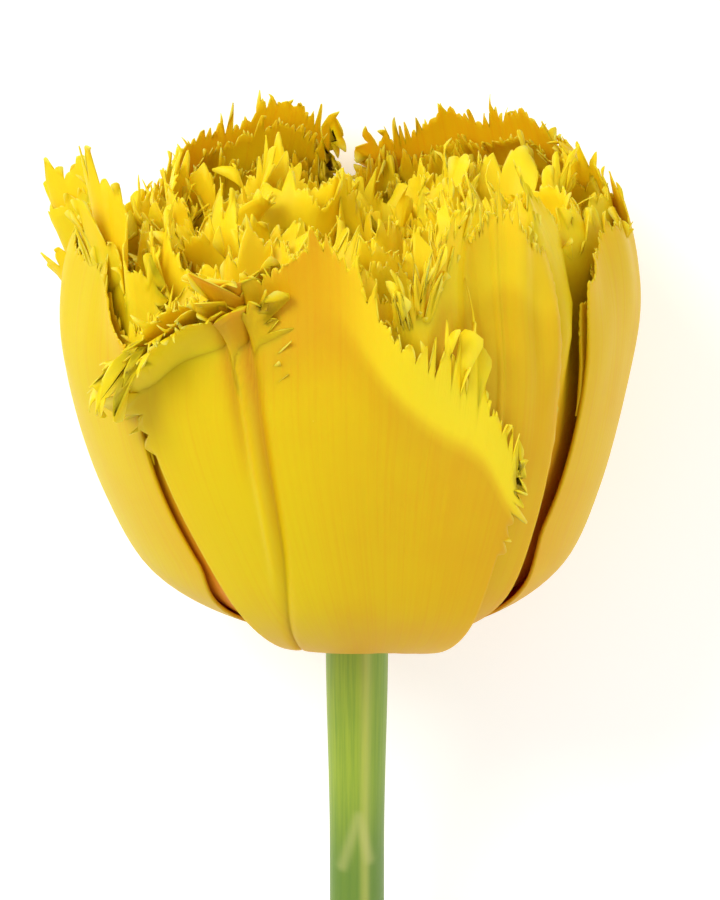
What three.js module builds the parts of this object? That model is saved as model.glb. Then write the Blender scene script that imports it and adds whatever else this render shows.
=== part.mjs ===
// A double fringed tulip, cut with a short leafless length of stalk and lying on a table.
// Frame: +Z up, the table at Z = 0, the stalk runs to -Y and the bloom opens to +Y.
// The bloom is modelled upright about its own axis, front towards -Y and right towards +X,
// and is then laid down as one group. Lengths are in millimetres.
import * as THREE from "three";

const DEG = Math.PI / 180;

// Driving dimensions.
const PETAL_THICKNESS = 0.6;
const ROW_STEP = 1.15; // between two rows of petals where they leave the stalk
const LIE = 13 * DEG; // how far the bloom's axis rises above the table
const FOOT_HEIGHT = 27.4; // the foot of the bloom above the table
const STALK_RADIUS = 3.9;
const STALK_RUN = 122; // from the foot of the bloom to the cut, along the table
const SWAY = -1.2; // the bloom's middle stands this far to the left of its foot
const PRESS_DEPTH = 12; // petals further in than this aren't pressed by the table
const FOOT_GAP = 0.5; // between the receptacle and the feet of the petals round it
const FULL_WIDTH_AT = 0.42; // how far up the bloom a petal reaches its full width
const TOOTH = 0.012; // half the height of the coarse teeth on each rim, as a share of the full line

// The outside of the bloom from its foot to its rim, as radius and height, and the line round
// the pistil that the innermost petals would follow.
const OUTER_LINE = spline([
  [7.5, 1.5],
  [19.5, 3.2],
  [28.8, 9.5],
  [34, 20],
  [37.2, 31.5],
  [38.6, 43],
  [37.2, 55],
  [34, 67],
]);
const INNER_LINE = spline([
  [4, 8.5],
  [4.8, 16],
  [5.4, 24],
  [6, 33],
  [6.4, 42],
  [6.4, 50],
  [6.2, 58],
  [6, 67],
]);

// Rows of petals, from the outside in. depth: how far inside the bloom's outside the row stands
// at its widest. claw: half the width of a petal's foot. tuck: how far a petal's right edge
// stands outside its left edge, so that neighbours overlap like tiles.
const ROWS = [
  { depth: 0, claw: 4.3, tuck: 0, up: 10, across: 8 },
  { depth: 1.8, claw: 3, tuck: 0.75, up: 10, across: 8 },
  { depth: 5.2, claw: 2.5, tuck: 0.85, up: 9, across: 6 },
  { depth: 9.6, claw: 2.9, tuck: 1, up: 8, across: 6 },
  { depth: 15, claw: 2.6, tuck: 1, up: 8, across: 4 },
  { depth: 20.6, claw: 2.8, tuck: 1.2, up: 7, across: 4 },
  { depth: 25.6, claw: 2.6, tuck: 1.2, up: 7, across: 4 },
];

// Petals. row: counted from the outside. at: its place round the bloom in degrees, 0 in front
// and 90 on the right. half: half its width. rim: how far up the bloom it reaches at five places
// from its left edge to its right, as a share of the full line. opens: how far up the bloom it
// reaches its full width, where that isn't FULL_WIDTH_AT.
const PETALS = [
  { name: "outer_petal_front", row: 1, at: -3, half: 26, opens: 0.65, rim: [0.75, 0.84, 0.89, 0.71, 0.56] },
  { name: "outer_petal_under_right", row: 1, at: 143.5, half: 20.5, rim: [0.92, 0.94, 0.94, 0.93, 0.9] },
  { name: "outer_petal_under_left", row: 1, at: -143.5, half: 20.5, rim: [0.95, 0.95, 0.89, 0.84, 0.8] },
  { name: "second_petal_front_right", row: 2, at: 29, half: 12.5, opens: 0.6, rim: [0.8, 0.9, 0.93, 0.92, 0.84] },
  { name: "second_petal_right", row: 2, at: 86, half: 23.5, opens: 0.36, rim: [0.74, 0.84, 0.9, 0.92, 0.89] },
  { name: "second_petal_under", row: 2, at: 178, half: 22, rim: [0.8, 0.9, 0.92, 0.9, 0.82] },
  { name: "second_petal_left", row: 2, at: -84, half: 23.5, opens: 0.34, rim: [0.82, 0.86, 0.86, 0.84, 0.72] },
  { name: "second_petal_front_left", row: 2, at: -28, half: 13, opens: 0.6, rim: [0.74, 0.84, 0.88, 0.84, 0.78] },
  ...around(3, 6, -70, 16.5, [0.98, 0.88, 0.93, 0.95, 0.92, 0.93]),
  ...around(4, 5, 20, 16.5, [0.88, 0.94, 0.96, 0.93, 0.88]),
  ...around(5, 5, -16, 14.5, [0.85, 0.92, 0.93, 0.93, 0.9]),
  ...around(6, 4, 34, 13.5, [0.87, 0.9, 0.9, 0.88]),
  ...around(7, 3, -30, 11.5, [0.82, 0.84, 0.86]),
];

// The feet of the petals stand one behind another over this length, and the receptacle fills
// the space inside them.
const FEET_SPAN = OUTER_LINE.getPoint(0).distanceTo(INNER_LINE.getPoint(0));
const RECEPTACLE_TOP = INNER_LINE.getPoint(0).y;

// The pistil and the six stamens that stand round it.
const PISTIL = { height: 21, radius: 2.1, lobe: 0.24 };
const STAMEN = { count: 6, out: 4.1, height: 17, anther: 8, filamentRadius: 0.55, antherRadius: 1.15 };

// A smooth line through points of radius and height, from 0 at its first to 1 at its last.
function spline(points) {
  return new THREE.SplineCurve(points.map(([r, s]) => new THREE.Vector2(r, s)));
}

// 0 below 0, 1 above 1, and smooth between.
function ease(x) {
  return THREE.MathUtils.smoothstep(x, 0, 1);
}

// The petals of an inner row, evenly round the bloom. tops: how high each one reaches.
function around(row, count, first, half, tops) {
  return tops.map((top, i) => ({
    name: `row_${row}_petal_${i + 1}`,
    row,
    at: first + (i * 360) / count,
    half,
    rim: [top - 0.09, top - 0.02, top, top - 0.03, top - 0.1],
  }));
}

// A value from a list of equally spaced ones, x from -1 at the first to 1 at the last.
function between(list, x) {
  const place = ((x + 1) / 2) * (list.length - 1);
  const low = Math.min(Math.floor(place), list.length - 2);
  return THREE.MathUtils.lerp(list[low], list[low + 1], place - low);
}

// The point of radius and height that lies depth inside the bloom's outside, where t is the
// share of the way up. Depth leaves the outside at right angles and bends towards the inner line.
function section(t, depth) {
  const outer = OUTER_LINE.getPoint(t);
  const inner = INNER_LINE.getPoint(t);
  const along = OUTER_LINE.getTangent(t);
  const span = outer.distanceTo(inner);
  const control = outer.clone().addScaledVector(new THREE.Vector2(-along.y, along.x), span / 2);
  const q = depth / span;
  return outer
    .multiplyScalar((1 - q) ** 2)
    .addScaledVector(control, 2 * q * (1 - q))
    .addScaledVector(inner, q * q);
}

// The folds that run down through all the petals together and die out below the bloom's middle.
function ruffle(radius, height, angle) {
  const size = 0.9 * ease((height - 22) / 38) * Math.min(1, radius / 18);
  return size * (Math.sin(5 * angle + 0.9) + 0.6 * Math.sin(9 * angle - 1.2 + height / 30));
}

function bloomPoint(t, angle, depth) {
  const { x: radius, y: height } = section(t, depth);
  const folded = radius + ruffle(radius, height, angle);
  return new THREE.Vector3(
    folded * Math.sin(angle) + SWAY * ease(height / 40),
    -folded * Math.cos(angle),
    height,
  );
}

// The table's own up, seen from the bloom.
const UP = new THREE.Vector3(0, -Math.cos(LIE), Math.sin(LIE));

// A point of a petal. Where the bloom's outside would sink into the table the petals give way.
function petalPoint(t, angle, depth) {
  const point = bloomPoint(t, angle, depth);
  const sunk = -(FOOT_HEIGHT + bloomPoint(t, angle, 0).dot(UP));
  return point.addScaledVector(UP, Math.max(0, sunk) * (1 - ease(depth / PRESS_DEPTH)));
}

// A closed mesh over rings that all have the same even number of points. Each end is closed by
// a strip of faces across its ring, from its first half to its second.
function loft(rings) {
  const size = rings[0].length;
  const index = [];
  rings.slice(1).forEach((_, row) => {
    for (let i = 0; i < size; i++) {
      const a = row * size + i;
      const b = row * size + ((i + 1) % size);
      index.push(a, b, b + size, a, b + size, a + size);
    }
  });
  const last = (rings.length - 1) * size;
  for (let i = 0; i < size / 2 - 1; i++) {
    const [a, b, c, d] = [i, i + 1, size - 2 - i, size - 1 - i];
    index.push(a, c, b, a, d, c, last + a, last + b, last + c, last + a, last + c, last + d);
  }
  const geometry = new THREE.BufferGeometry().setFromPoints(rings.flat()).setIndex(index);
  geometry.computeVertexNormals();
  return geometry;
}

// Half the width of a petal at a share of the way up: a narrow claw that opens into the blade.
function halfWidth(petal, row, t) {
  const opened = Math.min(1, t / (petal.opens ?? FULL_WIDTH_AT));
  return THREE.MathUtils.lerp(row.claw, petal.half, 1 - (1 - opened) ** 1.15);
}

function petalGeometry(petal) {
  const row = ROWS[petal.row - 1];
  const foot = (petal.row - 1) * ROW_STEP;
  const face = (up, inside) =>
    Array.from({ length: row.across + 1 }, (_, i) => {
      const v = (2 * i) / row.across - 1;
      const tooth = up === 1 ? TOOTH * (-1) ** (i + 1) : 0;
      const t = up * (between(petal.rim, v) + tooth);
      const opened = ease(t / 0.36);
      const depth =
        THREE.MathUtils.lerp(foot, row.depth, opened) -
        opened * row.tuck * v +
        (inside ? PETAL_THICKNESS : 0);
      const turn = (v * halfWidth(petal, row, t)) / section(t, depth).x;
      return petalPoint(t, petal.at * DEG + turn, depth);
    });
  const rings = Array.from({ length: row.up + 1 }, (_, k) => {
    const up = k / row.up;
    return [...face(up, false), ...face(up, true).reverse()];
  });
  return loft(rings);
}

// A ring of points about a centre, square to a direction in the plane X = 0. radiusAt gives the
// radius at each angle.
function ringAbout(centre, direction, radiusAt, sides) {
  const across = new THREE.Vector3(1, 0, 0);
  const other = new THREE.Vector3().crossVectors(direction, across);
  return Array.from({ length: sides }, (_, i) => {
    const angle = (i * 2 * Math.PI) / sides;
    const radius = radiusAt(angle);
    return centre
      .clone()
      .addScaledVector(across, radius * Math.cos(angle))
      .addScaledVector(other, radius * Math.sin(angle));
  });
}

// A round solid about its own upright axis, from a list of radius and height.
function turned(profile, sides, radiusAt = (radius) => radius) {
  const up = new THREE.Vector3(0, 0, 1);
  return loft(
    profile.map(([radius, height]) =>
      ringAbout(new THREE.Vector3(0, 0, height), up, (angle) => radiusAt(radius, angle), sides),
    ),
  );
}

// The stalk from the table up to the bloom, where it widens into the receptacle. It leaves the
// bloom along the bloom's axis and comes down to lie along the table.
function stalkGeometry() {
  const toBloom = (y, z) =>
    new THREE.Vector3(0, y, z - FOOT_HEIGHT).applyAxisAngle(new THREE.Vector3(1, 0, 0), Math.PI / 2 - LIE);
  const path = new THREE.CubicBezierCurve3(
    toBloom(-STALK_RUN, STALK_RADIUS),
    toBloom(-STALK_RUN + 34, STALK_RADIUS),
    new THREE.Vector3(0, 0, -38),
    new THREE.Vector3(0, 0, -2),
  );
  const steps = 14;
  const stalk = Array.from({ length: steps + 1 }, (_, i) => {
    const at = i / steps;
    return ringAbout(path.getPoint(at), path.getTangent(at), () => STALK_RADIUS, 16);
  });
  const feet = [0, 0.25, 0.5, 0.75, 1].map((q) => section(0, q * FEET_SPAN).toArray());
  const receptacle = [[4.8, -0.5], ...feet].map(([radius, height]) =>
    ringAbout(new THREE.Vector3(0, 0, height), new THREE.Vector3(0, 0, 1), () => radius - FOOT_GAP, 16),
  );
  return loft([...stalk, ...receptacle]);
}

function pistilGeometry() {
  const { height, radius, lobe } = PISTIL;
  const foot = RECEPTACLE_TOP + 0.3;
  const profile = [
    [0.8 * radius, foot],
    [radius, foot + 0.15 * height],
    [1.1 * radius, foot + 0.5 * height],
    [0.75 * radius, foot + 0.82 * height],
    [1.35 * radius, foot + 0.92 * height],
    [0.9 * radius, foot + height],
  ];
  return turned(profile, 18, (r, angle) => r * (1 + lobe * Math.cos(3 * angle) * (r / radius - 0.5)));
}

function stamenGeometry() {
  const { height, anther, filamentRadius, antherRadius } = STAMEN;
  const foot = RECEPTACLE_TOP + 0.1;
  const start = height - anther;
  return turned(
    [
      [filamentRadius, foot],
      [filamentRadius * 0.8, foot + start],
      [antherRadius, foot + start + 0.15 * anther],
      [antherRadius, foot + start + 0.8 * anther],
      [antherRadius * 0.35, foot + height],
    ],
    8,
  );
}

function material(color, roughness) {
  return new THREE.MeshStandardMaterial({ color, roughness, metalness: 0 });
}

const petalYellow = material(0xe6cf1c, 0.5);
const stalkGreen = material(0x8fae3c, 0.45);
const pistilGreen = material(0xb9bd5a, 0.5);
const antherOchre = material(0xc9a02e, 0.8);

function piece(name, geometry, finish) {
  const mesh = new THREE.Mesh(geometry, finish);
  mesh.name = name;
  return mesh;
}

const bloom = new THREE.Group();
for (const petal of PETALS) bloom.add(piece(petal.name, petalGeometry(petal), petalYellow.clone()));
bloom.add(piece("stalk", stalkGeometry(), stalkGreen));
bloom.add(piece("pistil", pistilGeometry(), pistilGreen));
for (let i = 0; i < STAMEN.count; i++) {
  const stamen = piece(`stamen_${i + 1}`, stamenGeometry(), antherOchre.clone());
  const angle = ((i + 0.5) * 2 * Math.PI) / STAMEN.count;
  stamen.position.set(STAMEN.out * Math.sin(angle), -STAMEN.out * Math.cos(angle), 0);
  bloom.add(stamen);
}

// Laid on the table, with the origin under the middle of the whole flower.
const tulip = new THREE.Group();
bloom.rotation.x = LIE - Math.PI / 2;
tulip.add(bloom);
tulip.updateMatrixWorld(true);
const box = new THREE.Box3().setFromObject(tulip, true);
const middle = box.getCenter(new THREE.Vector3());
bloom.position.set(-middle.x, -middle.y, -box.min.z);

export default tulip;
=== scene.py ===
import math
import random

import bmesh
import bpy
from mathutils import Matrix, Vector, noise


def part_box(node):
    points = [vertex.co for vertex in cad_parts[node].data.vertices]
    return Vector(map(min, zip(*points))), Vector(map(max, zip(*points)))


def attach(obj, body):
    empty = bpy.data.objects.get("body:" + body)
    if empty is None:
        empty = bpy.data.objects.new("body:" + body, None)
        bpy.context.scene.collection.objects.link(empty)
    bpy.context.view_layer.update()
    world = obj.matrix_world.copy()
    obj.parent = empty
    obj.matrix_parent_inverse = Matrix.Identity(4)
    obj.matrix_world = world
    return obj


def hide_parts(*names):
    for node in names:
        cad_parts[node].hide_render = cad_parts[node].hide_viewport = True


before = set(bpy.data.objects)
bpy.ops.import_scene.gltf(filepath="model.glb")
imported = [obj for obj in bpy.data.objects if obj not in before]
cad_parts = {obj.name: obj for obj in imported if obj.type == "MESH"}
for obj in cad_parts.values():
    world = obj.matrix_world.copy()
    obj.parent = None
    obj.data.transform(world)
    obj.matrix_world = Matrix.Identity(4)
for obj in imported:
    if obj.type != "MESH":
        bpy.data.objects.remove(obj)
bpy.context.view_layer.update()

mm = 0.001


class Wire:
    # one socket of a material, so that shader maths reads as arithmetic
    def __init__(self, tree, socket=None):
        self.tree = tree
        self.socket = socket

    def node(self, kind, settings=None, inputs=None, output=0):
        made = self.tree.nodes.new(kind)
        for name, value in (settings or {}).items():
            if name == "stops":
                ramp = made.color_ramp.elements
                while len(ramp) < len(value):
                    ramp.new(0.5)
                for stop, (place, color) in zip(ramp, value):
                    stop.position, stop.color = place, color
            else:
                setattr(made, name, value)
        for name, value in (inputs or {}).items():
            if isinstance(value, Wire):
                self.tree.links.new(value.socket, made.inputs[name])
            else:
                made.inputs[name].default_value = value
        return Wire(self.tree, made.outputs[output]) if made.outputs else None

    def math(self, operation, first, second=0.0, clamp=False):
        settings = {"operation": operation, "use_clamp": clamp}
        return self.node("ShaderNodeMath", settings, {0: first, 1: second})

    def __add__(self, other):
        return self.math("ADD", self, other)

    def __sub__(self, other):
        return self.math("SUBTRACT", self, other)

    def __rsub__(self, other):
        return self.math("SUBTRACT", other, self)

    def __mul__(self, other):
        return self.math("MULTIPLY", self, other)

    def __abs__(self):
        return self.math("ABSOLUTE", self)

    __radd__ = __add__
    __rmul__ = __mul__

    def step(self, low, high):
        # 0 at low, 1 at high and beyond, smooth between
        settings = {"interpolation_type": "SMOOTHSTEP"}
        return self.node("ShaderNodeMapRange", settings, {"Value": self, "From Min": low, "From Max": high})

    def blend(self, first, second):
        # two colours mixed by this wire
        settings = {"data_type": "RGBA"}
        return self.node("ShaderNodeMix", settings, {0: self, 6: first, 7: second}, 2)

    def attribute(self, name):
        return self.node("ShaderNodeAttribute", {"attribute_name": name}, output=2)

    def noise(self, vector, scale, detail=3.0, roughness=0.55):
        inputs = {"Vector": vector, "Scale": scale, "Detail": detail, "Roughness": roughness}
        return self.node("ShaderNodeTexNoise", None, inputs)

    def bump(self, height, distance, strength=1.0):
        inputs = {"Height": height, "Distance": distance, "Strength": strength}
        return self.node("ShaderNodeBump", None, inputs)


def tone(red, green, blue):
    # a colour given as it looks on a screen, from 0 to 255
    def linear(part):
        part /= 255
        return part / 12.92 if part <= 0.04045 else ((part + 0.055) / 1.055) ** 2.4
    return (linear(red), linear(green), linear(blue), 1.0)


def startFinish(name):
    material = bpy.data.materials.new(name)
    material.use_nodes = True
    material.node_tree.nodes.clear()
    return material, Wire(material.node_tree)


def closeFinish(wire, inputs):
    surface = wire.node("ShaderNodeBsdfPrincipled", None, inputs)
    wire.node("ShaderNodeOutputMaterial", None, {"Surface": surface})


petalFinish = {
    # the first two: the petal's yellow in the light and in painted shade, the second also the real golden
    # tone of its veins and patches
    "litYellow": tone(221, 193, 8),
    "goldAndShade": tone(219, 168, 12),
    # a painted highlight on the petals' margins
    "rim": tone(252, 220, 30),
    # the orange-brown of the painted shade at the petals' feet, in their creases and under the rim
    "shadeAmber": tone(200, 132, 14),
    # the orange of the painted shade deep inside the bloom
    "deep": tone(232, 140, 26),
    "tip": tone(240, 226, 100),
    "greenTip": tone(180, 186, 84),
    "roughness": 0.56,
    "veinsAcross": 46.0,  # veins over a petal's width
}


def makePetalFinish():
    look = petalFinish
    material, wire = startFinish("petal_skin")
    along, across, warm = wire.attribute("along"), wire.attribute("across"), wire.attribute("warm")
    tooth, depth = wire.attribute("tooth"), wire.attribute("deep")
    place = wire.node("ShaderNodeTexCoord", output=3)
    streaks = {0: across * look["veinsAcross"], 1: along * 1.6, 2: depth * 30.0}
    streaks = wire.node("ShaderNodeCombineXYZ", None, streaks)
    veins = wire.noise(streaks, 1.0, 4.0, 0.6)
    patches = wire.noise(place, 70.0, 3.0)
    fine = wire.noise(place, 900.0, 2.0)
    # painted shade: petals and sides turned from the light are golden, the teeth less so
    warm = warm * (1.0 - tooth.step(0.0, 0.6) * 0.7)
    goldAndShade = warm * 0.75 + veins.step(0.42, 0.72) * 0.22 + patches.step(0.4, 0.75) * 0.2
    color = goldAndShade.step(0.0, 1.0).blend(look["litYellow"], look["goldAndShade"])
    # painted shade at the petals' feet, deep in the bloom
    foot = 1.0 - along.step(0.02, 0.45)
    color = (foot * 0.85).blend(color, look["shadeAmber"])
    # painted shade in the creases and under the rim, not on the teeth
    color = (wire.attribute("tan") * (1.0 - tooth.step(0.0, 0.4)) * 0.75).blend(color, look["shadeAmber"])
    # painted shade: the low parts of the inner petals turn orange, as light fails deep in the bloom
    sunkenShade = (1.0 - along.step(0.35, 0.85)) * depth.step(0.05, 0.2)
    color = sunkenShade.blend(color, look["deep"])
    # painted light: the inner petals' margins and the margins given per petal are brighter
    rim = along.step(0.8, 0.97) * depth.step(0.05, 0.3) + wire.attribute("bright")
    color = (rim * 0.9).blend(color, look["rim"])
    pale = tooth.step(0.3, 1.0) * patches.step(0.35, 0.6)
    color = (pale * 0.7).blend(color, look["tip"])
    green = tooth.step(0.2, 0.8) * wire.noise(place, 160.0, 2.0).step(0.6, 0.7)
    color = (green * 0.5).blend(color, look["greenTip"])
    normal = wire.bump(veins * 0.8 + fine * 0.2, 0.00012, 0.5)
    closeFinish(wire, {
        "Base Color": color, "Roughness": look["roughness"] - veins * 0.12, "Normal": normal,
        "Subsurface Weight": 0.35, "Subsurface Radius": (1.0, 0.5, 0.03), "Subsurface Scale": 0.0012,
        "Specular IOR Level": 0.16,
    })
    return material


stalkFinish = {
    # the first two: the stalk's green in the light and in painted shade, also mixed at random along its
    # streaks
    "lit": tone(158, 180, 52),
    "green": tone(108, 146, 44),
    "low": tone(94, 130, 46),
    "ridge": tone(196, 196, 96),
    "scar": tone(196, 196, 120),
    "cutRim": tone(120, 150, 66),
    "cutHeart": tone(208, 214, 150),
}


def makeStalkFinish():
    look = stalkFinish
    material, wire = startFinish("stalk_skin")
    around, down = wire.attribute("around"), wire.attribute("down")
    scar, cut = wire.attribute("scar"), wire.attribute("cut")
    place = wire.node("ShaderNodeTexCoord", output=3)
    streaks = wire.node("ShaderNodeCombineXYZ", None, {0: around * 26.0, 1: down * 0.05, 2: 0.0})
    lines = wire.noise(streaks, 1.0, 4.0)
    cloud = wire.noise(place, 60.0, 3.0)
    color = (lines.step(0.35, 0.7) * 0.5 + cloud.step(0.35, 0.7) * 0.3).blend(look["lit"], look["green"])
    # painted shade: the stalk's side turned from the light is darker
    color = (around.step(0.0, 0.3) * 0.5).blend(color, look["green"])
    color = (down.step(16.0, 34.0) * 0.8).blend(color, look["low"])
    crest = 1.0 - abs(around - 0.09).step(0.0, 0.09)
    color = (crest * 0.5).blend(color, look["ridge"])
    color = (scar * 0.4).blend(color, look["scar"])
    heart = wire.noise(place, 1400.0, 3.0).step(0.3, 0.7)
    inside = (heart * 0.5).blend(look["cutHeart"], look["cutRim"])
    color = cut.blend(color, inside)
    normal = wire.bump(lines * 0.7 + wire.noise(place, 1200.0, 2.0) * 0.3, 0.00015, 0.5)
    closeFinish(wire, {
        "Base Color": color, "Roughness": 0.42 + lines * 0.12, "Normal": normal,
        "Subsurface Weight": 0.2, "Subsurface Radius": (0.5, 0.8, 0.15), "Subsurface Scale": 0.002,
        "Specular IOR Level": 0.45,
    })
    return material


def makeHeartFinish(name, dark, light, scale, roughness):
    # the finish of the pistil and of the stamens
    material, wire = startFinish(name)
    place = wire.node("ShaderNodeTexCoord", output=3)
    grains = wire.noise(place, scale, 4.0)
    color = grains.step(0.3, 0.7).blend(dark, light)
    closeFinish(wire, {
        "Base Color": color, "Roughness": roughness, "Normal": wire.bump(grains, 0.0003, 0.6),
        "Subsurface Weight": 0.15, "Subsurface Radius": (0.8, 0.7, 0.2), "Subsurface Scale": 0.001,
    })
    return material


print("finishes")
petalSkin = makePetalFinish()
stalkSkin = makeStalkFinish()
pistilSkin = makeHeartFinish("pistil_skin", tone(150, 165, 70), tone(206, 208, 118), 700.0, 0.45)
stamenSkin = makeHeartFinish("stamen_skin", tone(176, 130, 38), tone(226, 186, 70), 1600.0, 0.85)


# the bloom's form, in millimetres about its own axis, with its front towards -Y
bloom = {
    "lie": math.radians(13),  # how far the bloom's axis rises above the table
    "footHeight": 27.4,
    "stalkRun": 122.0,
    "sway": -1.2,
    "rowStep": 1.15,
    "pressDepth": 12.0,
    "fullWidthAt": 0.42,
    "sheet": 0.45,  # a petal's thickness
    # radius and height, from the foot to the opening
    "outerLine": [(7.5, 1.5), (19.5, 3.2), (28.8, 9.5), (34, 20),
                  (37.2, 31.5), (38.6, 43), (37.2, 55), (34, 67)],
    "innerLine": [(4, 8.5), (4.8, 16), (5.4, 24), (6, 33),
                  (6.4, 42), (6.4, 50), (6.2, 58), (6, 67)],
}

stalkLow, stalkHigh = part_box("stalk")
footPoint = Vector((
    (stalkLow[0] + stalkHigh[0]) / 2,
    stalkLow[1] + bloom["stalkRun"] * mm,
    bloom["footHeight"] * mm,
))
laidDown = (
    Matrix.Translation(footPoint)
    @ Matrix.Rotation(bloom["lie"] - math.pi / 2, 4, "X")
    @ Matrix.Scale(mm, 4)
)
tableUp = Vector((0, -math.cos(bloom["lie"]), math.sin(bloom["lie"])))


def ease(x):
    x = min(1.0, max(0.0, x))
    return x * x * (3 - 2 * x)


def mix(a, b, share):
    return a + (b - a) * share


def curveAt(points, t):
    # a smooth line through points, and its direction, t from 0 at the first to 1 at the last
    last = len(points) - 1
    low = min(int(max(t, 0.0) * last), last - 1)
    w = t * last - low
    p0, p1 = points[max(low - 1, 0)], points[low]
    p2, p3 = points[low + 1], points[min(low + 2, last)]
    place, heading = [], []
    for a, b, c, d in zip(p0, p1, p2, p3):
        v0, v1 = (c - a) / 2, (d - b) / 2
        cubic, square = 2 * b - 2 * c + v0 + v1, -3 * b + 3 * c - 2 * v0 - v1
        place.append(((cubic * w + square) * w + v0) * w + b)
        heading.append((3 * cubic * w + 2 * square) * w + v0)
    return place, heading


def valueAt(values, v):
    # a smooth value from a list of equally spaced ones, v from -1 at the first to 1 at the last
    return curveAt([(value,) for value in values], (v + 1) / 2)[0][0]


def section(t, depth):
    # the radius and height that lie depth inside the bloom's outside
    (outR, outH), (dirR, dirH) = curveAt(bloom["outerLine"], t)
    (inR, inH), _ = curveAt(bloom["innerLine"], t)
    span, pace = math.hypot(inR - outR, inH - outH), math.hypot(dirR, dirH)
    midR, midH = outR - dirH / pace * span / 2, outH + dirR / pace * span / 2
    q = depth / span
    a, b, c = (1 - q) ** 2, 2 * q * (1 - q), q * q
    return a * outR + b * midR + c * inR, a * outH + b * midH + c * inH


def bloomPoint(t, angle, depth):
    radius, height = section(t, depth)
    size = 0.9 * ease((height - 22) / 38) * min(1.0, radius / 18)
    radius += size * (math.sin(5 * angle + 0.9) + 0.6 * math.sin(9 * angle - 1.2 + height / 30))
    return Vector((
        radius * math.sin(angle) + bloom["sway"] * ease(height / 40),
        -radius * math.cos(angle),
        height,
    ))


def pressedPoint(t, angle, depth):
    # the same point, where the table has pushed the bloom's underside up
    point = bloomPoint(t, angle, depth)
    sunk = -(bloom["footHeight"] + bloomPoint(t, angle, 0).dot(tableUp))
    if sunk > 0:
        point += tableUp * sunk * (1 - ease(depth / bloom["pressDepth"]))
    return point


rows = {
    1: {"depth": 0, "claw": 4.3, "tuck": 0},
    2: {"depth": 1.8, "claw": 3, "tuck": 0.75},
    3: {"depth": 5.2, "claw": 2.5, "tuck": 0.85},
    4: {"depth": 9.6, "claw": 2.9, "tuck": 1},
    5: {"depth": 15, "claw": 2.6, "tuck": 1},
    6: {"depth": 20.6, "claw": 2.8, "tuck": 1.2},
    7: {"depth": 25.6, "claw": 2.6, "tuck": 1.2},
}

petalDefaults = {
    "opens": bloom["fullWidthAt"],
    "columns": 72, "bladeRows": 14, "rollRows": 6, "span": (-1, 1),
    "rollFrom": 0.91,  # where the margin starts to roll, as a share of the petal
    "roll": None,  # degrees that the margin rolls outwards, from left to right
    "mostRoll": 45,  # where it isn't given
    "folds": (),  # lengthwise ridges: v from the foot to the rim, half width, height, first u, last u
    "skew": 0.0,  # degrees that the petal's foot stands to the right of its middle
    "belly": 0.0,  # millimetres that the petal's low end stands out
    "bend": [0, 0],  # millimetres that it stands out further up, from left to right
    "wave": 1.5, "crumple": 1.6, "lobe": 0.022,  # millimetres, and a share of the bloom's height
    "teeth": 3.0, "hairs": 1.0,  # millimetres
    "fringe": [1, 1],  # how strong the fringe is, from left to right
    "sideFrom": 0.72,  # where the fringe starts on the sides
    "warm": [0.3, 0.3],  # painted shade, from the lit yellow to the shaded golden, from left to right
    "frills": (),  # extra margins: millimetres that each stands out, how much lower it is, its span
    "tan": (0, 1, 1, 0),  # painted shade under the rim: its middle, half width, first u and strength
    "bright": [0, 0],  # painted light on its margin, from left to right
    "frillFrom": 0.76,
    "frillRoll": (-10, 25),  # degrees that they may roll further
    "shade": 0.0,  # painted shade: how deep between its neighbours it lies, which makes its low part orange
}

bigPetal = {
    "columns": 116, "bladeRows": 40, "rollRows": 9, "wave": 0.25, "crumple": 0.5, "lobe": 0.012,
    "frills": ((-1.2, 0.02),),
}

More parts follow.
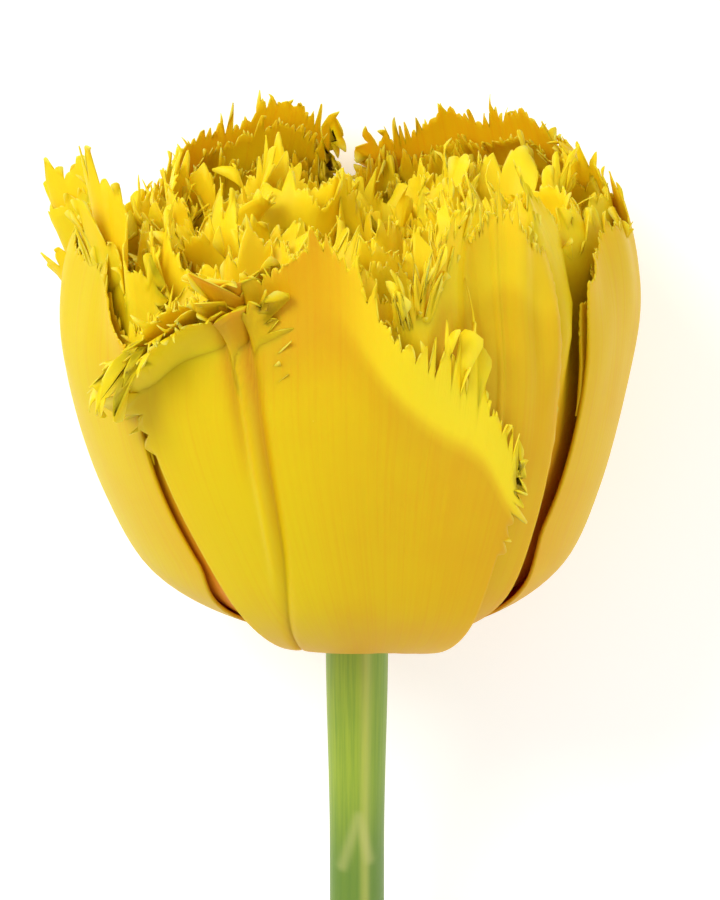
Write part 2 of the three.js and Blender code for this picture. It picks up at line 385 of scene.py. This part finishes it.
outerPetals = [
    {**bigPetal, "node": "outer_petal_front", "row": 1, "at": -3, "half": 26, "opens": 0.65,
     "skew": 5, "belly": 0.3,
     "rim": [0.75, 0.8, 0.83, 0.865, 0.885, 0.79, 0.707, 0.635, 0.55],
     "roll": [75, 65, 30, 25, 20, 10, -5, -15, -10], "rollFrom": 0.89, "bend": [0, 0, 0, 0, 0, 0.7, 1.4],
     "fringe": [1.9, 1.8, 1.2, 1.1, 1.2, 1.6, 2.0, 2.1, 1.8],
     "warm": [0.1, 0.1, 0.15, 0.5, 0.6, 0.75, 0.85], "frillFrom": 0.84,
     "tan": (-0.15, 0.4, 0.76, 0.6), "bright": [0.7, 0.5, 0.1, 0, 0.1, 0.8, 1, 1, 1],
     "frills": ((-0.5, 0.0, -1, -0.3), (-1.0, -0.02, -1, -0.4)), "frillRoll": (-25, -5),
     "folds": [([-1.0, -0.7, -0.4, -0.345, -0.45], 0.035, -0.8, 0.0, 1.0),
               ([-1.0, -0.75, -0.46, -0.395, -0.5], 0.03, 0.8, 0.35, 1.0),
               ([-1.0, -0.8, -0.54, -0.46, -0.56], 0.035, -0.6, 0.6, 1.0)]},
    {**bigPetal, "node": "outer_petal_under_right", "row": 1, "at": 143.5, "half": 20.5, "columns": 92,
     "rim": [0.945, 0.945, 0.96, 0.95, 0.9], "roll": [-35, -20, -12, -15, -10], "warm": [0.6, 0.6],
     "frills": ((-1.1, 0.02), (-2.0, 0.07), (-2.9, 0.13)), "frillFrom": 0.72},
    {**bigPetal, "node": "outer_petal_under_left", "row": 1, "at": -143.5, "half": 20.5, "columns": 92,
     "rim": [0.94, 0.965, 0.9, 0.82, 0.77], "roll": [-10, -10, -12, -15, -25], "warm": [0.4, 0.3],
     "frills": ((-1.1, 0.02), (-2.0, 0.07), (-2.9, 0.13)), "frillFrom": 0.72},
    {**bigPetal, "node": "second_petal_front_right", "row": 2, "at": 27, "half": 11.8, "opens": 0.6,
     "belly": -0.4, "tan": (-0.75, 0.3, 0.55, 0.35), "bright": [0.9, 0.7, 0.5, 0.5, 0.3],
     "rim": [0.78, 0.88, 0.905, 0.905, 0.86], "roll": [20, 20, 10, 0, -10], "teeth": 3.8, "sideFrom": 0.5,
     "fringe": [2.1, 1.4, 1.1, 1, 0.15], "warm": [0.5, 0.7],
     "folds": [([0.15, 0.25], 0.025, 0.25, 0.3, 1.0)],
     "wave": 0.5, "crumple": 0.9},
    {**bigPetal, "node": "second_petal_right", "row": 2, "at": 91, "half": 21.5, "opens": 0.4, "belly": -0.2,
     "rim": [0.82, 0.86, 0.86, 0.91, 0.9], "roll": [0, -15, -10, -15, -10], "fringe": [0.1, 1, 1, 1, 1],
     "warm": [0.7, 0.65, 0.6], "sideFrom": 0.86},
    {**bigPetal, "node": "second_petal_under", "row": 2, "at": 178, "half": 22,
     "rim": [0.84, 0.88, 0.84, 0.88, 0.84], "roll": [-10, -10, -10], "warm": [0.6, 0.6],
     "frills": ((-1.1, 0.02), (-2.0, 0.08)), "frillFrom": 0.72},
    {**bigPetal, "node": "second_petal_left", "row": 2, "at": -82, "half": 23.5, "opens": 0.36,
     "belly": -1.0,
     "rim": [0.78, 0.82, 0.86, 0.84, 0.74], "roll": [0, -15, -20, -10, 5], "fringe": [1, 1, 1, 1, 0.4],
     "warm": [0.1, 0.05, 0.1, 0.5]},
    {**bigPetal, "node": "second_petal_front_left", "row": 2, "at": -28, "half": 13, "opens": 0.6,
     "belly": -1.0,
     "rim": [0.72, 0.78, 0.8, 0.78, 0.74], "roll": [-10, -10], "warm": [0.8, 0.8], "shade": 0.2},
]


nearFrills = ((1.2, 0.03), (2.1, 0.1), (-1.2, 0.04))
farFrills = ((1.2, 0.03), (-1.2, 0.04), (-2.1, 0.11))


def innerRow(row, count, first, half, tops):
    # the petals of one row, whose margins roll less where they stand behind the front one
    petals = []
    for i, top in enumerate(tops):
        at = first + i * 360 / count
        near = math.cos(math.radians(at))
        petals.append({
            "node": f"row_{row}_petal_{i + 1}", "row": row, "at": at, "half": half,
            "rim": [top - 0.09, top - 0.02, top, top - 0.03, top - 0.1],
            "frills": farFrills[1:] if row == 3 else nearFrills if near > 0 else farFrills,
            "mostRoll": 0 if row == 3 else 15 if near > 0.5 else 45,
            "columns": 72 if row < 6 else 58, "frillRoll": (-15, 5) if row == 3 else (-10, 25),
        })
    return petals


innerPetals = [
    *innerRow(3, 6, -70, 16.5, [1.0, 0.88, 0.93, 0.93, 0.85, 0.87]),
    *innerRow(4, 5, 20, 16.5, [0.88, 0.93, 0.87, 0.9, 0.88]),
    *innerRow(5, 5, -16, 14.5, [0.85, 0.92, 0.92, 0.9, 0.88]),
    *innerRow(6, 4, 34, 13.5, [0.87, 0.9, 0.9, 0.88]),
    *innerRow(7, 3, -30, 11.5, [0.82, 0.84, 0.86]),
]
innerPetals[0].update({
    "rim": [0.82, 0.91, 0.975, 0.93, 0.84], "roll": [-5, 6, 10, 5, -5], "rollFrom": 0.8, "rollRows": 12,
    "frills": ((-1.2, 0.04), (-2.1, 0.1)), "frillFrom": 0.7, "warm": [0.1, 0.2], "teeth": 3.4, "wave": 0.8,
})


def halfWidth(petal, t):
    opened = min(1.0, t / petal["opens"])
    return mix(rows[petal["row"]]["claw"], petal["half"], 1 - (1 - opened) ** 1.15)


def foldShare(fold, u, v):
    line, width, _, first, last = fold
    window = ease((u - first) / 0.2) * (1 if last == 1 else ease((last - u) / 0.2))
    return window * math.exp(-(((v - valueAt(line, 2 * u - 1)) / width) ** 2))


def relief(petal, u, v, t):
    # how far the petal's surface stands out from its smooth form
    raised = ease((t - 0.3) / 0.5)
    out = petal["wave"] * raised * math.sin(petal["phase"] + v * petal["waves"])
    rough = Vector((3.2 * v + petal["seed"], 4.5 * u, 0.7 * petal["seed"]))
    out += petal["crumple"] * ease((t - 0.5) / 0.35) * 2 * noise.noise(rough)
    out += petal["belly"] * math.exp(-(((t - 0.16) / 0.13) ** 2))
    out += valueAt(petal["bend"], v) * ease(t / 0.3)
    if petal["lift"]:
        free = ease((u - petal["frillFrom"]) / (1 - petal["frillFrom"]))
        out += petal["lift"] * mix(0.4, 1, free) + free * 0.5 * math.sin(petal["phase"] + 1.3 + v * 9)
    for fold in petal["folds"]:
        out += fold[2] * foldShare(fold, u, v)
    return out


def creaseAndRimShadeShare(petal, u, v):
    # painted shade: how brown the petal is in its creases and under its rim
    share = sum(-fold[2] * foldShare(fold, u, v) for fold in petal["folds"] if fold[2] < 0)
    share *= ease((u - 0.35) / 0.4)
    middle, width, first, strength = petal["tan"]
    share += strength * ease((u - first) / 0.12) * math.exp(-(((v - middle) / width) ** 2))
    return min(1.0, share)


def bladePoint(petal, u, v):
    row = rows[petal["row"]]
    t = u * (valueAt(petal["rim"], v) + petal["lobe"] * math.sin(petal["lobes"] * v + petal["phase"]))
    opened = ease(t / 0.36)
    depth = mix((petal["row"] - 1) * bloom["rowStep"], row["depth"], opened) - opened * row["tuck"] * v
    angle = math.radians(petal["at"] + petal["skew"] * (1 - ease(t / 0.6)))
    angle += v * halfWidth(petal, t) / section(t, depth)[0]
    return pressedPoint(t, angle, depth - relief(petal, u, v, t))


def rollFrame(petal, v):
    # where the margin starts, with its ways up, across and out
    u, small = petal["rollFrom"], 0.02
    start = bladePoint(petal, u, v)
    up = start - bladePoint(petal, u - small, v)
    across = bladePoint(petal, u, v + small) - bladePoint(petal, u, v - small)
    length = up.length * (1 - u) / small
    up.normalize()
    across.normalize()
    return start, up, across, across.cross(up).normalized(), length


def marginPoint(petal, frameHere, bend, reach):
    # reach: how far along the rolled margin, in millimetres
    start, up, _, out, length = frameHere
    angle = bend * reach / length
    if abs(angle) < 1e-4:
        return start + up * reach
    radius = reach / angle
    return start + up * radius * math.sin(angle) + out * radius * (1 - math.cos(angle))


def toothLengths(petal, count, dice):
    # a ragged line over the rim: peaks of two to five columns
    line = [0.0] * (count + 1)
    at = 0
    while at < count:
        width = dice.choice([2, 2, 3, 4, 5])
        peak = width * dice.uniform(0.25, 0.75)
        height = petal["teeth"] * dice.uniform(0.2, 1.3) * (1 + 0.6 * math.sin(at * 0.21 + petal["phase"]))
        for k in range(width + 1):
            if at + k <= count:
                share = k / peak if k < peak else (width - k) / (width - peak)
                line[at + k] = max(line[at + k], height * share)
        at += width
    return line


def growHairs(bm, edges, petal, layers, dice):
    # a blade on every edge of the fringe, in three steps, each narrower than the one before
    steps = [(0.35, 0.85), (0.7, 0.55), (1.0, 0.12)]
    for group in (edges[0::2], edges[1::2]):
        growing = []
        for edge, out, side, normal, size in group:
            tilt, lean = dice.gauss(0, 0.3), dice.gauss(0.1, 0.38)
            long = petal["hairs"] * size * dice.choice([0.12, 0.3, 0.6, 0.9, 1.3, 1.9])
            way = (out + side * tilt + normal * lean).normalized()
            curl = normal * dice.gauss(0.1, 0.35) + side * dice.gauss(0, 0.2)
            root = (edge.verts[0].co + edge.verts[1].co) / 2
            growing.append((edge, way, curl, long, root, edge.calc_length()))
        for reach, width in steps:
            made = bmesh.ops.extrude_edge_only(bm, edges=[item[0] for item in growing])["geom"]
            fresh = {part for part in made if isinstance(part, bmesh.types.BMVert)}
            nextUp = []
            for edge, way, curl, long, root, wide in growing:
                pair = []
                for old in edge.verts:
                    new = next(e.other_vert(old) for e in old.link_edges if e.other_vert(old) in fresh)
                    offset = old.co - (edge.verts[0].co + edge.verts[1].co) / 2
                    across = offset.normalized() if offset.length else Vector((0, 0, 0))
                    pair.append((new, across))
                centre = root + way * long * reach + curl * long * reach * reach
                for new, across in pair:
                    new.co = centre + across * wide * width / 2
                    new[layers["tooth"]] = reach
                nextEdge = bm.edges.get((pair[0][0], pair[1][0]))
                nextUp.append((nextEdge, way, curl, long, root, wide))
            growing = nextUp


def sideLine(petal, count, dice):
    # how far the teeth of one side stand out, row by row
    line = [0.0] * count
    for j in range(0, count - 1, 2):
        line[j + 1] = petal["teeth"] * dice.uniform(0.2, 0.8)
    return line


def growSheet(bm, petal, layers, dice, first=0.0):
    # one fringed sheet of a petal, from a share of its length up to its rim
    left, right = petal["span"]
    columns, margin = round(petal["columns"] * (right - left) / 2), petal["rollRows"]
    blade = max(4, round(petal["bladeRows"] * (1 - first)))
    made = bmesh.ops.create_grid(bm, x_segments=columns, y_segments=blade + margin, size=1)["verts"]
    made.sort(key=lambda vert: (round(vert.co.y, 4), vert.co.x))
    grid = [made[i:i + columns + 1] for i in range(0, len(made), columns + 1)]
    teeth = toothLengths(petal, columns, dice)
    sides = {side: sideLine(petal, blade + margin + 1, dice) for side in (0, columns)}
    depth = rows[petal["row"]]["depth"] / 30
    for i in range(columns + 1):
        v = mix(left, right, i / columns)
        frameHere = rollFrame(petal, v)
        bend = math.radians(valueAt(petal["roll"], v))
        side = 0 if 2 * i < columns else columns
        near = max(0.0, 1 - abs(i - side) / 3) ** 2
        for j, row in enumerate(grid):
            vert = row[i]
            if j <= blade:
                u = mix(first, petal["rollFrom"], j / blade)
                vert.co = bladePoint(petal, u, v)
            else:
                share = (j - blade) / margin
                u = mix(petal["rollFrom"], 1, share)
                fringed = teeth[i] * valueAt(petal["fringe"], v) * share ** 2
                vert.co = marginPoint(petal, frameHere, bend, frameHere[4] * share + fringed)
            reach = near * sides[side][j] * ease((u - petal["sideFrom"]) / 0.15)
            reach *= petal["fringe"][-1 if side else 0]
            vert.co += frameHere[2] * reach * (1 if side else -1)
            vert[layers["along"]] = u
            vert[layers["across"]] = v * petal["half"] / 26
            vert[layers["deep"]] = depth + petal["shade"]
            vert[layers["loose"]] = 1.0 if petal["lift"] else 0.0
            vert[layers["tan"]] = creaseAndRimShadeShare(petal, u, v)
            vert[layers["bright"]] = valueAt(petal["bright"], v) * ease((u - 0.87) / 0.05)
            vert[layers["warm"]] = valueAt(petal["warm"], v)
    for column, inner, sign in ((0, 1, -1), (columns, columns - 1, 1)):
        run = []
        for j in range(blade + margin):
            a, b = grid[j][column], grid[j + 1][column]
            size = ease((a[layers["along"]] - petal["sideFrom"]) / 0.2)
            if size > 0:
                up = (b.co - a.co).normalized()
                out = ((a.co - grid[j][inner].co).normalized() + up * 0.5).normalized()
                size *= petal["fringe"][0 if sign < 0 else -1]
                run.append((bm.edges.get((a, b)), out, up, (out.cross(up) * -sign).normalized(), size))
        growHairs(bm, run, petal, layers, dice)
    run = []
    for i in range(columns):
        a, b, c, d = grid[-1][i], grid[-1][i + 1], grid[-2][i], grid[-2][i + 1]
        out = ((a.co + b.co) - (c.co + d.co)).normalized()
        side = (d.co - c.co).normalized()
        size = 0.45 + 0.6 * (teeth[i] + teeth[i + 1]) / 2 / petal["teeth"]
        size *= valueAt(petal["fringe"], mix(left, right, i / columns))
        run.append((bm.edges.get((a, b)), out, side, side.cross(out).normalized(), size))
    growHairs(bm, run, petal, layers, dice)


petalLayers = ("along", "across", "tooth", "deep", "warm", "loose", "tan", "bright")


def makePetal(petal):
    petal = {**petalDefaults, **petal}
    dice = random.Random(petal["node"])
    petal.update(
        seed=dice.uniform(0, 50), phase=dice.uniform(0, 6.28), waves=dice.uniform(4, 7),
        lobes=dice.uniform(7, 11), lift=0.0,
    )
    if petal["roll"] is None:
        petal["roll"] = [dice.uniform(-25, petal["mostRoll"]) for _ in range(6)]
    bm = bmesh.new()
    layers = {name: bm.verts.layers.float.new(name) for name in petalLayers}
    growSheet(bm, petal, layers, dice)
    for lift, drop, *span in petal["frills"]:
        outwards = math.copysign(1, lift)
        frill = {
            **petal, "lift": lift, "span": span or (-1, 1),
            "rim": [top - drop - dice.uniform(-0.01, 0.03) for top in petal["rim"]],
            "roll": [turn + dice.uniform(*petal["frillRoll"]) * outwards for turn in petal["roll"]],
        }
        growSheet(bm, frill, layers, dice, frill["frillFrom"])
    bm.transform(laidDown)
    table = bloom["sheet"] / 2 * mm + 0.0001
    for vert in bm.verts:
        vert.co.z = max(vert.co.z, table)
    thin = bm.verts.layers.deform.verify()
    for vert in bm.verts:
        edge = ease((vert[layers["along"]] - 0.8) / 0.2)
        begun = ease((vert[layers["along"]] - petal["frillFrom"]) / 0.06)
        begun = 1 - 0.85 * vert[layers["loose"]] * (1 - begun)
        vert[thin][0] = begun * (1 - 0.5 * edge) * (1 - 0.6 * vert[layers["tooth"]])
    piece = addPiece("fringed_" + petal["node"], bm, petalSkin, "petal", petal["node"])
    piece.vertex_groups.new(name="thickness")
    shell = piece.modifiers.new("thickness", "SOLIDIFY")
    shell.thickness = bloom["sheet"] * mm
    shell.offset = 0
    shell.vertex_group = "thickness"
    return piece


def addPiece(name, bm, skin, slot, *nodes):
    mesh = bpy.data.meshes.new(name)
    for face in bm.faces:
        face.smooth = True
    bm.to_mesh(mesh)
    bm.free()
    piece = bpy.data.objects.new(name, mesh)
    bpy.context.scene.collection.objects.link(piece)
    mesh.materials.append(skin)
    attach(piece, "root")
    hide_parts(*nodes)
    return piece


for petal in outerPetals + innerPetals:
    makePetal(petal)
print("petals", len(outerPetals + innerPetals))


stalk = {
    "sides": 64,
    "fineRun": 36.0, "fineSteps": 72, "coarseSteps": 40,
    "neck": 4.2, "waist": 3.7, "foot": 3.85,  # radius under the bloom, 30 mm down, at the cut
    "crestAt": 0.09, "crest": 0.12,
    # height and radius of the swelling that carries the petals
    "head": [(8.8, 3.3), (8.5, 3.6), (6.4, 4.7), (4.2, 5.7), (2.4, 6.5), (1.3, 6.6), (0.5, 5.7), (-0.2, 4.6)],
    "scarTip": (0.2, 24.5), "scarFeet": [(-1.9, 31.5), (1.6, 30.5)], "scarWidth": 1.2,
}


def growRing(bm, ring, places):
    # one more ring of a tube, joined to the last
    edges = [bm.edges.get((ring[i - 1], ring[i])) for i in range(len(ring))]
    made = bmesh.ops.extrude_edge_only(bm, edges=edges)["geom"]
    fresh = {part for part in made if isinstance(part, bmesh.types.BMVert)}
    grown = [next(e.other_vert(old) for e in old.link_edges if e.other_vert(old) in fresh) for old in ring]
    for vert, place in zip(grown, places):
        vert.co = place
    return grown


def startRing(bm, sides, places):
    ring = bmesh.ops.create_circle(bm, segments=sides, radius=1)["verts"]
    ring.sort(key=lambda vert: math.atan2(vert.co.y, vert.co.x))
    for vert, place in zip(ring, places):
        vert.co = place
    return ring


def closeRing(bm, ring, shares=(0.75, 0.5, 0.25)):
    # close a ring flat, with smaller rings inside it
    outside = [vert.co.copy() for vert in ring]
    centre = sum(outside, Vector()) / len(outside)
    for share in shares:
        ring = growRing(bm, ring, [centre + (place - centre) * share for place in outside])
    edges = [bm.edges.get((ring[i - 1], ring[i])) for i in range(len(ring))]
    face = bmesh.ops.contextual_create(bm, geom=edges)["faces"][0]
    bmesh.ops.poke(bm, faces=[face])


def segmentDistance(x, y, start, end):
    dx, dy = end[0] - start[0], end[1] - start[1]
    share = max(0.0, min(1.0, ((x - start[0]) * dx + (y - start[1]) * dy) / (dx * dx + dy * dy)))
    return math.hypot(x - start[0] - share * dx, y - start[1] - share * dy)


def makeStalk():
    run = -bloom["stalkRun"] * mm
    low = stalkLow[2] + stalk["foot"] * mm + 0.0001
    ends = [
        laidDown @ Vector((0, 0, -1)), laidDown @ Vector((0, 0, -38)),
        Vector((footPoint.x, footPoint.y + run + 0.034, low)), Vector((footPoint.x, footPoint.y + run, low)),
    ]
    length = bloom["stalkRun"] + 4
    middle = stalk["fineRun"] / length
    fine = [middle * k / stalk["fineSteps"] for k in range(stalk["fineSteps"])]
    coarse = [mix(middle, 1, k / stalk["coarseSteps"]) for k in range(stalk["coarseSteps"] + 1)]
    bm = bmesh.new()
    layers = {name: bm.verts.layers.float.new(name) for name in ("around", "down", "scar", "cut")}
    side = Vector((1, 0, 0))
    backwards = (laidDown @ Vector((0, 0, -1)) - laidDown @ Vector((0, 0, 0))).normalized()
    upwards = backwards.cross(side)
    turns = [2 * math.pi * k / stalk["sides"] - math.pi for k in range(stalk["sides"])]
    ring = None
    for height, radius in stalk["head"]:
        centre = laidDown @ Vector((0, 0, height))
        places = [centre + (side * math.sin(turn) + upwards * math.cos(turn)) * radius * mm for turn in turns]
        ring = growRing(bm, ring, places) if ring else startRing(bm, stalk["sides"], places)
        if height == stalk["head"][0][0]:
            top = ring
    for at in fine + coarse:
        p0, p1, p2, p3 = ends
        s = 1 - at
        centre = p0 * s ** 3 + p1 * 3 * s * s * at + p2 * 3 * s * at * at + p3 * at ** 3
        ahead = ((p1 - p0) * s * s + (p2 - p1) * 2 * s * at + (p3 - p2) * at * at).normalized()
        over = side.cross(ahead).normalized()
        if over.z < 0:
            over = -over
        down = at * length
        radius = mix(stalk["neck"], stalk["waist"], ease(down / 30))
        radius = mix(radius, stalk["foot"], ease((down - 40) / 80))
        places, marks = [], []
        for k in range(stalk["sides"]):
            around = -1 + 2 * k / stalk["sides"]
            angle = around * math.pi
            crest = math.exp(-(((around - stalk["crestAt"]) / 0.035) ** 2))
            reach = radius + stalk["crest"] * crest - 0.1 * math.cos(4 * angle + 0.6)
            x = reach * math.sin(angle)
            scar = 0.0
            if abs(around) < 0.45:
                gap = min(segmentDistance(x, down, stalk["scarTip"], end) for end in stalk["scarFeet"])
                scar = ease(1 - gap / stalk["scarWidth"])
            reach += 0.08 * scar
            places.append(centre + (side * math.sin(angle) + over * math.cos(angle)) * reach * mm)
            marks.append((around, down, scar, 0.0))
        ring = growRing(bm, ring, places)
        for vert, mark in zip(ring, marks):
            for name, value in zip(("around", "down", "scar", "cut"), mark):
                vert[layers[name]] = value
    skin = set(bm.verts)
    closeRing(bm, top)
    closeRing(bm, ring)
    for vert in bm.verts:
        if vert not in skin and vert.co.y < footPoint.y - 0.05:
            vert[layers["cut"]] = 1.0
    bmesh.ops.recalc_face_normals(bm, faces=bm.faces)
    return addPiece("green_stalk", bm, stalkSkin, "stalk", "stalk")


makeStalk()
print("stalk")


pistil = {"foot": 8.8, "height": 21.0, "radius": 2.1, "lobe": 0.26, "sides": 48}
stamen = {"count": 6, "out": 4.1, "foot": 8.6, "height": 17.0, "anther": 8.0, "filament": 0.55, "bag": 1.1}


def makeTurned(name, profile, sides, lobes, centre, skin, slot, node):
    # a round upright form whose radius also changes round it
    bm = bmesh.new()
    ring = None
    for radius, height in profile:
        places = []
        for k in range(sides):
            angle = 2 * math.pi * k / sides - math.pi
            reach = radius * lobes(angle, height)
            places.append(centre + Vector((reach * math.cos(angle), reach * math.sin(angle), height)))
        ring = growRing(bm, ring, places) if ring else startRing(bm, sides, places)
        if height == profile[0][1]:
            bottom = ring
    closeRing(bm, bottom, (0.5,))
    closeRing(bm, ring, (0.5,))
    bmesh.ops.recalc_face_normals(bm, faces=bm.faces)
    bm.transform(laidDown)
    return addPiece(name, bm, skin, slot, node)


def makePistil():
    foot, high, wide = pistil["foot"], pistil["height"], pistil["radius"]
    shares = [(0.8, 0), (0.95, 0.05), (1.02, 0.15), (1.08, 0.4), (1.0, 0.6), (0.8, 0.76), (0.74, 0.84),
              (1.05, 0.89), (1.32, 0.93), (1.25, 0.97), (0.9, 1.0)]
    profile = [(wide * r, foot + high * h) for r, h in shares]

    def lobes(angle, height):
        ribbed = ease((height - foot) / high * 1.4 - 0.1)
        return 1 + pistil["lobe"] * ribbed * (abs(math.cos(1.5 * angle)) - 0.6)

    centre = Vector((0, 0, 0))
    makeTurned("pale_pistil", profile, pistil["sides"], lobes, centre, pistilSkin, "pistil", "pistil")


def makeStamens():
    foot = stamen["foot"]
    start = foot + stamen["height"] - stamen["anther"]
    thin, bag, long = stamen["filament"], stamen["bag"], stamen["anther"]
    profile = [(thin, foot), (thin * 0.9, mix(foot, start, 0.5)), (thin * 0.6, start)]
    profile += [(bag * 0.8, start + 0.4)]
    profile += [(bag, start + long * share) for share in (0.15, 0.3, 0.5, 0.7, 0.82)]
    profile += [(bag * 0.75, start + long * 0.93), (bag * 0.3, start + long)]

    def lobes(angle, height):
        return 1 - 0.22 * abs(math.cos(2 * angle)) ** 6 * ease((height - start) / 1.5)

    for i in range(stamen["count"]):
        angle = (i + 0.5) * 2 * math.pi / stamen["count"]
        centre = Vector((stamen["out"] * math.sin(angle), -stamen["out"] * math.cos(angle), 0))
        node = f"stamen_{i + 1}"
        makeTurned("dusty_" + node, profile, 24, lobes, centre, stamenSkin, "stamen", node)


makePistil()
makeStamens()
print("heart")


studio = {
    "height": 0.62,  # of the camera above the table
    "fieldHigh": 0.117,  # what the picture's height takes in at the bloom's middle
    "aimX": 0.0004, "aimY": 0.0242,  # from the foot of the bloom
    "key": 2.6, "fill": 1.1, "sky": 0.7, "skyTone": (1.0, 0.97, 0.93, 1),
    "glow": 0.32,  # the table's own light
}


def makeTable():
    bm = bmesh.new()
    bmesh.ops.create_grid(bm, x_segments=1, y_segments=1, size=3)
    mesh = bpy.data.meshes.new("table")
    bm.to_mesh(mesh)
    bm.free()
    table = bpy.data.objects.new("table", mesh)
    bpy.context.scene.collection.objects.link(table)
    material, wire = startFinish("pale_table")
    closeFinish(wire, {
        "Base Color": (0.88, 0.88, 0.88, 1), "Roughness": 0.9, "Specular IOR Level": 0.1,
        "Emission Color": (1, 1, 1, 1), "Emission Strength": studio["glow"],
    })
    mesh.materials.append(material)


def addLight(name, place, size, power):
    data = bpy.data.lights.new(name, "AREA")
    data.shape = "DISK"
    data.size = size
    data.energy = power
    light = bpy.data.objects.new(name, data)
    light.location = place
    light.rotation_euler = (footPoint + Vector((0, 0.03, 0)) - place).to_track_quat("-Z", "Y").to_euler()
    bpy.context.scene.collection.objects.link(light)


def makeCamera():
    data = bpy.data.cameras.new("camera")
    data.sensor_fit = "AUTO"
    data.sensor_width = 36
    middle = 0.036
    data.lens = data.sensor_width * (studio["height"] - middle) / studio["fieldHigh"]
    camera = bpy.data.objects.new("camera", data)
    camera.location = (footPoint.x + studio["aimX"], footPoint.y + studio["aimY"], studio["height"])
    bpy.context.scene.collection.objects.link(camera)
    bpy.context.scene.camera = camera


makeTable()
addLight("key", footPoint + Vector((-0.34, 0.3, 0.5)), 0.35, studio["key"])
addLight("fill", footPoint + Vector((0.5, -0.2, 0.5)), 0.6, studio["fill"])
world = bpy.data.worlds.new("room")
world.use_nodes = True
world.node_tree.nodes["Background"].inputs["Color"].default_value = studio["skyTone"]
world.node_tree.nodes["Background"].inputs["Strength"].default_value = studio["sky"]
bpy.context.scene.world = world
bpy.context.scene.view_settings.view_transform = "Standard"
makeCamera()
print("studio")
